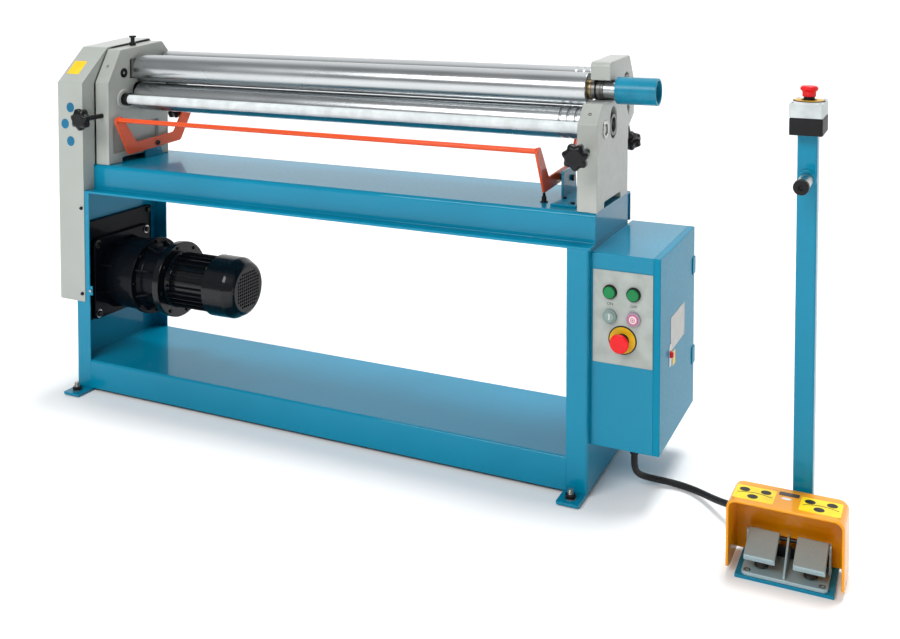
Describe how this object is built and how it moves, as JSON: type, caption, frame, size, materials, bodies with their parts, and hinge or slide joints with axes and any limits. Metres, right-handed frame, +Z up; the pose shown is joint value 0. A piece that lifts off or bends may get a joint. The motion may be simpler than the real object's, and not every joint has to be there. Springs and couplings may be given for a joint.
{
  "type": "slip roll machine",
  "caption": "Powered three-roll slip roll machine on a folded stand, with swing-out top roll, hand-knob adjustment, geared motor, control cabinet and a tethered foot pedal stand.",
  "frame": {"origin": "middle of the four levelling screws, on the floor", "axes": "+X along the rolls from the gear cover to the control cabinet, -Y toward the operator, +Z up"},
  "size_m": [1.982, 0.5416, 0.9305],
  "materials": {
    "blue_paint": "semi-gloss powder coat",
    "zinc_screw": "zinc plated",
    "grey_casting": "satin paint over iron castings",
    "ground_steel": "ground and polished",
    "grey_iron": "machined",
    "bronze": "oiled bronze",
    "blue_gloss": "gloss",
    "black_steel": "blackened",
    "bright_bar": "bright drawn bar",
    "dark_steel": "oiled",
    "grey_paint": "satin powder coat",
    "black_knob": "moulded",
    "black_paint": "gloss black",
    "black_plastic": "matt",
    "orange_paint": "satin",
    "panel_sheet": "printed sheet",
    "green_lens": "lens",
    "grey_button": "moulded",
    "red_button": "moulded",
    "yellow_plastic": "moulded",
    "red_plastic": "moulded",
    "black_rubber": "matt",
    "hammered_grey": "hammered paint",
    "hood_yellow": "satin",
    "light_plastic": "moulded"
  },
  "bodies": {
    "frame": {"leg_left": "blue_paint", "leg_right": "blue_paint", "table": "blue_paint", "shelf": "blue_paint", "foot_plates": "blue_paint", "levelling_screws": "zinc_screw", "housing_left": "grey_casting", "housing_right": "grey_casting", "swing_pin": "black_steel", "tie_rod": "bright_bar", "tie_collars": "black_steel", "gear_cover": "grey_paint", "cover_screws": "black_steel", "motor_plate": "black_paint", "reducer": "black_paint", "motor": "black_paint", "fan_cover": "black_paint", "terminal_box": "black_paint", "trip_brackets": "blue_paint", "trip_switch": "black_plastic", "cabinet": "blue_paint", "panel_plate": "panel_sheet", "lamps": "green_lens", "stop_ring": "yellow_plastic", "cabinet_gland": "black_plastic", "cable": "black_rubber", "hood_gland": "black_plastic", "pedal_base": "hammered_grey", "pedal_pins": "zinc_screw", "hood": "hood_yellow", "column": "blue_paint", "station_box": "light_plastic", "station_ring": "yellow_plastic"},
    "upper_swing": {"swing_block": "grey_iron", "swing_bush": "bronze"},
    "upper_roll": {"roll_upper": "ground_steel", "sleeve": "blue_gloss"},
    "lower_lift": {"lower_blocks": "grey_iron", "chain": "dark_steel"},
    "lower_roll": {"roll_lower": "ground_steel", "lower_sprocket": "dark_steel"},
    "motor_output": {"motor_sprocket": "dark_steel"},
    "motor_fan": {"fan": "black_plastic"},
    "rear_slide": {"rear_blocks": "grey_iron"},
    "rear_roll": {"roll_rear": "ground_steel"},
    "front_knob_left": {"front_knob_left": "black_knob"},
    "front_knob_right": {"front_knob_right": "black_knob"},
    "rear_knob_left": {"rear_knob_left": "black_knob"},
    "rear_knob_right": {"rear_knob_right": "black_knob"},
    "trip_frame": {"arm_left": "orange_paint", "arm_right": "orange_paint", "trip_bars": "orange_paint"},
    "trip_plunger": {"trip_plunger": "zinc_screw"},
    "cabinet_door": {"cabinet_door": "blue_paint"},
    "start_button": {"start_button": "grey_button"},
    "halt_button": {"halt_button": "red_button"},
    "stop_head": {"stop_head": "red_plastic"},
    "station_head": {"station_head": "red_plastic"},
    "pedal_left": {"pedal_left": "hammered_grey"},
    "pedal_right": {"pedal_right": "hammered_grey"}
  },
  "joints": [
    {"name": "upper_swing", "type": "hinge", "parent": "frame", "child": "upper_swing", "pos_m": [-0.6475, 0.0095, 0.843], "axis": [0, 0, -1], "range_deg": [0, 9]},
    {"name": "upper_roll_spin", "type": "hinge", "parent": "upper_swing", "child": "upper_roll", "pos_m": [0, 0.0095, 0.843], "axis": [1, 0, 0], "continuous": true},
    {"name": "lower_lift", "type": "slide", "parent": "frame", "child": "lower_lift", "axis": [0, 0, 1], "range_m": [-0.0045, 0.0017]},
    {"name": "lower_roll_spin", "type": "hinge", "parent": "lower_lift", "child": "lower_roll", "pos_m": [0, 0.0095, 0.767], "axis": [1, 0, 0], "continuous": true},
    {"name": "motor_output_spin", "type": "hinge", "parent": "frame", "child": "motor_output", "pos_m": [-0.72, -0.0045, 0.282], "axis": [1, 0, 0], "continuous": true},
    {"name": "motor_fan_spin", "type": "hinge", "parent": "frame", "child": "motor_fan", "pos_m": [-0.33, -0.0045, 0.282], "axis": [1, 0, 0], "continuous": true},
    {"name": "rear_slide", "type": "slide", "parent": "frame", "child": "rear_slide", "axis": [0, 0.5, -0.866], "range_m": [-0.0045, 0.0615]},
    {"name": "rear_roll_spin", "type": "hinge", "parent": "rear_slide", "child": "rear_roll", "pos_m": [0, 0.1155, 0.846], "axis": [1, 0, 0], "continuous": true},
    {"name": "front_knob_left_turn", "type": "hinge", "parent": "frame", "child": "front_knob_left", "pos_m": [-0.6475, -0.15, 0.724], "axis": [0, -1, 0], "range_deg": [-655, 250]},
    {"name": "front_knob_right_turn", "type": "hinge", "parent": "frame", "child": "front_knob_right", "pos_m": [0.6875, -0.15, 0.724], "axis": [0, -1, 0], "range_deg": [-655, 250]},
    {"name": "rear_knob_left_turn", "type": "hinge", "parent": "rear_slide", "child": "rear_knob_left", "pos_m": [-0.653, 0.1155, 0.846], "axis": [0, 0.5, -0.866], "range_deg": [-330, 4440]},
    {"name": "rear_knob_right_turn", "type": "hinge", "parent": "rear_slide", "child": "rear_knob_right", "pos_m": [0.693, 0.1155, 0.846], "axis": [0, 0.5, -0.866], "range_deg": [-330, 4440]},
    {"name": "trip_tilt", "type": "hinge", "parent": "frame", "child": "trip_frame", "pos_m": [0, 0.0605, 0.632], "axis": [1, 0, 0], "range_deg": [0, 3.5], "stiffness_Nm_per_rad": 20, "springref_deg": -11.46},
    {"name": "trip_plunger_press", "type": "slide", "parent": "frame", "child": "trip_plunger", "axis": [0, 0, -1], "range_m": [0, 0.0073]},
    {"name": "door_open", "type": "hinge", "parent": "frame", "child": "cabinet_door", "pos_m": [0.838, 0.1928, 0.31], "axis": [0, 0, 1], "range_deg": [0, 105]},
    {"name": "start_press", "type": "slide", "parent": "frame", "child": "start_button", "axis": [0, 1, 0], "range_m": [0, 0.004], "stiffness_N_per_m": 500},
    {"name": "halt_press", "type": "slide", "parent": "frame", "child": "halt_button", "axis": [0, 1, 0], "range_m": [0, 0.004], "stiffness_N_per_m": 500},
    {"name": "stop_press", "type": "slide", "parent": "frame", "child": "stop_head", "axis": [0, 1, 0], "range_m": [0, 0.005]},
    {"name": "station_stop_press", "type": "slide", "parent": "frame", "child": "station_head", "axis": [0, 0, -1], "range_m": [0, 0.005]},
    {"name": "pedal_left_press", "type": "hinge", "parent": "frame", "child": "pedal_left", "pos_m": [1.078, -0.2385, 0.052], "axis": [1, 0, 0], "range_deg": [0, 9], "stiffness_Nm_per_rad": 3, "springref_deg": -20.05},
    {"name": "pedal_right_press", "type": "hinge", "parent": "frame", "child": "pedal_right", "pos_m": [1.164, -0.2385, 0.052], "axis": [1, 0, 0], "range_deg": [0, 9], "stiffness_Nm_per_rad": 3, "springref_deg": -20.05}
  ],
  "couplings": [
    {"joint": "front_knob_left_turn", "follows": "lower_lift", "rad_per_m": 2513.3},
    {"joint": "front_knob_right_turn", "follows": "lower_lift", "rad_per_m": 2513.3},
    {"joint": "rear_knob_left_turn", "follows": "rear_slide", "rad_per_m": 1256.6},
    {"joint": "rear_knob_right_turn", "follows": "rear_slide", "rad_per_m": 1256.6},
    {"joint": "motor_output_spin", "follows": "lower_roll_spin", "ratio": 1.5385},
    {"joint": "motor_fan_spin", "follows": "lower_roll_spin", "ratio": 44.615},
    {"joint": "trip_plunger_press", "follows": "trip_tilt", "m_per_rad": 0.115}
  ]
}
